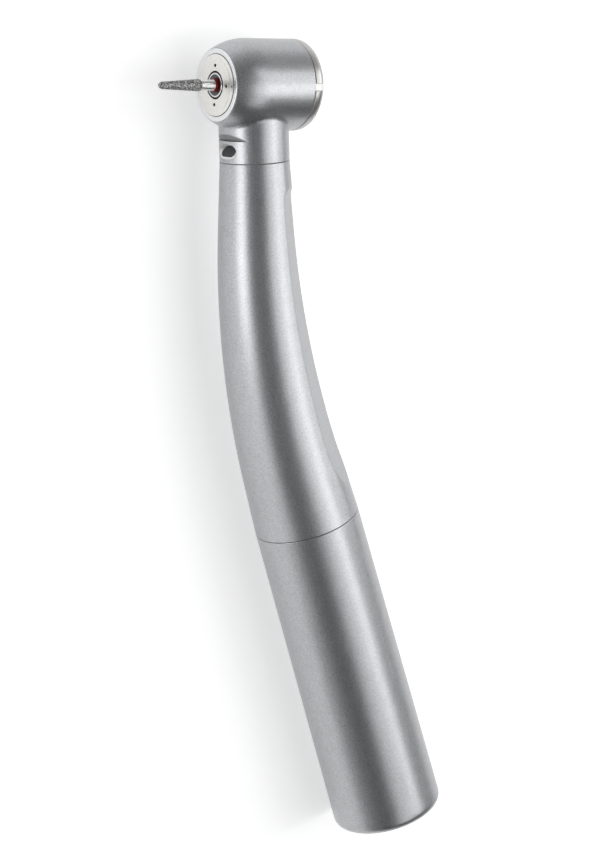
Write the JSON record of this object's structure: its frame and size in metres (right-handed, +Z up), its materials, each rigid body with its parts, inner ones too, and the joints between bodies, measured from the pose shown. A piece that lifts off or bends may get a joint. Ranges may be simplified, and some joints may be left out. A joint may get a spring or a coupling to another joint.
{
  "type": "dental high speed handpiece",
  "caption": "Bent satin steel handpiece with an air turbine head, push-button chuck, light window, bur and a rear quick coupling bore.",
  "frame": {"origin": "centre of the coupling bore's mouth at the rear end", "axes": "+X out of the coupling bore along the straight tail, body bends towards +Y, bur points towards -Y, +Z up with the handpiece lying on its side"},
  "size_m": [0.1172, 0.0282, 0.016],
  "materials": {
    "satin_casing": "fine bead-blasted satin",
    "satin_head": "fine bead-blasted satin",
    "nose_metal": "fine turned",
    "cap_metal": "polished",
    "bearing_steel": "ground and polished",
    "cage_plastic": "machined laminate",
    "seal_rubber": "moulded",
    "light_glass": "polished",
    "pipe_steel": "drawn",
    "socket_metal": "fine turned",
    "wheel_metal": "machined",
    "red_metal": "anodised",
    "bur_steel": "ground",
    "diamond_grit": "coarse galvanically bonded grit"
  },
  "bodies": {
    "handpiece": {"rear_sleeve": "satin_casing", "body_shell": "satin_casing", "head_housing": "satin_head", "nose_plate": "nose_metal", "back_cap": "cap_metal", "button_spring": "bearing_steel", "coupling_socket": "socket_metal", "socket_lock_ring": "socket_metal", "distributor": "socket_metal", "sleeve_seal": "seal_rubber", "neck_seal": "seal_rubber", "port_seals": "seal_rubber", "drive_air_pipe": "pipe_steel", "spray_air_pipe": "pipe_steel", "spray_water_pipe": "pipe_steel", "light_guide": "light_glass", "light_window": "light_glass", "preload_washer": "bearing_steel", "front_bearing_outer_ring": "bearing_steel", "front_bearing_o_ring": "seal_rubber", "rear_bearing_outer_ring": "bearing_steel", "rear_bearing_o_ring": "seal_rubber"},
    "rotor": {"impeller": "wheel_metal", "spindle": "bearing_steel", "chuck": "bearing_steel", "red_ring": "red_metal", "front_bearing_inner_ring": "bearing_steel", "rear_bearing_inner_ring": "bearing_steel"},
    "front_ball_set": {"front_bearing_balls": "bearing_steel", "front_bearing_cage": "cage_plastic"},
    "rear_ball_set": {"rear_bearing_balls": "bearing_steel", "rear_bearing_cage": "cage_plastic"},
    "button": {"push_button": "cap_metal"},
    "plunger": {"release_plunger": "bearing_steel"},
    "bur": {"bur_shank": "bur_steel", "bur_diamond": "diamond_grit"}
  },
  "joints": [
    {"name": "rotor_spin", "type": "hinge", "parent": "handpiece", "child": "rotor", "pos_m": [-0.10932, 0.01066, 0], "axis": [-0.3469, -0.9379, 0], "continuous": true},
    {"name": "front_balls_spin", "type": "hinge", "parent": "handpiece", "child": "front_ball_set", "pos_m": [-0.10932, 0.01066, 0], "axis": [-0.3469, -0.9379, 0], "continuous": true},
    {"name": "rear_balls_spin", "type": "hinge", "parent": "handpiece", "child": "rear_ball_set", "pos_m": [-0.10932, 0.01066, 0], "axis": [-0.3469, -0.9379, 0], "continuous": true},
    {"name": "button_press", "type": "slide", "parent": "handpiece", "child": "button", "axis": [-0.3469, -0.9379, 0], "range_m": [0, 0.0009], "stiffness_N_per_m": 2000, "springref_m": -0.002, "deforming": ["button_spring"]},
    {"name": "plunger_slide", "type": "slide", "parent": "rotor", "child": "plunger", "axis": [-0.3469, -0.9379, 0], "range_m": [0, 0.00061]},
    {"name": "bur_withdraw", "type": "slide", "parent": "rotor", "child": "bur", "axis": [-0.3469, -0.9379, 0], "range_m": [0, 0.011]}
  ],
  "couplings": [
    {"joint": "front_balls_spin", "follows": "rotor_spin", "ratio": 0.395},
    {"joint": "rear_balls_spin", "follows": "rotor_spin", "ratio": 0.395},
    {"joint": "plunger_slide", "follows": "button_press", "ratio": 0.667}
  ]
}
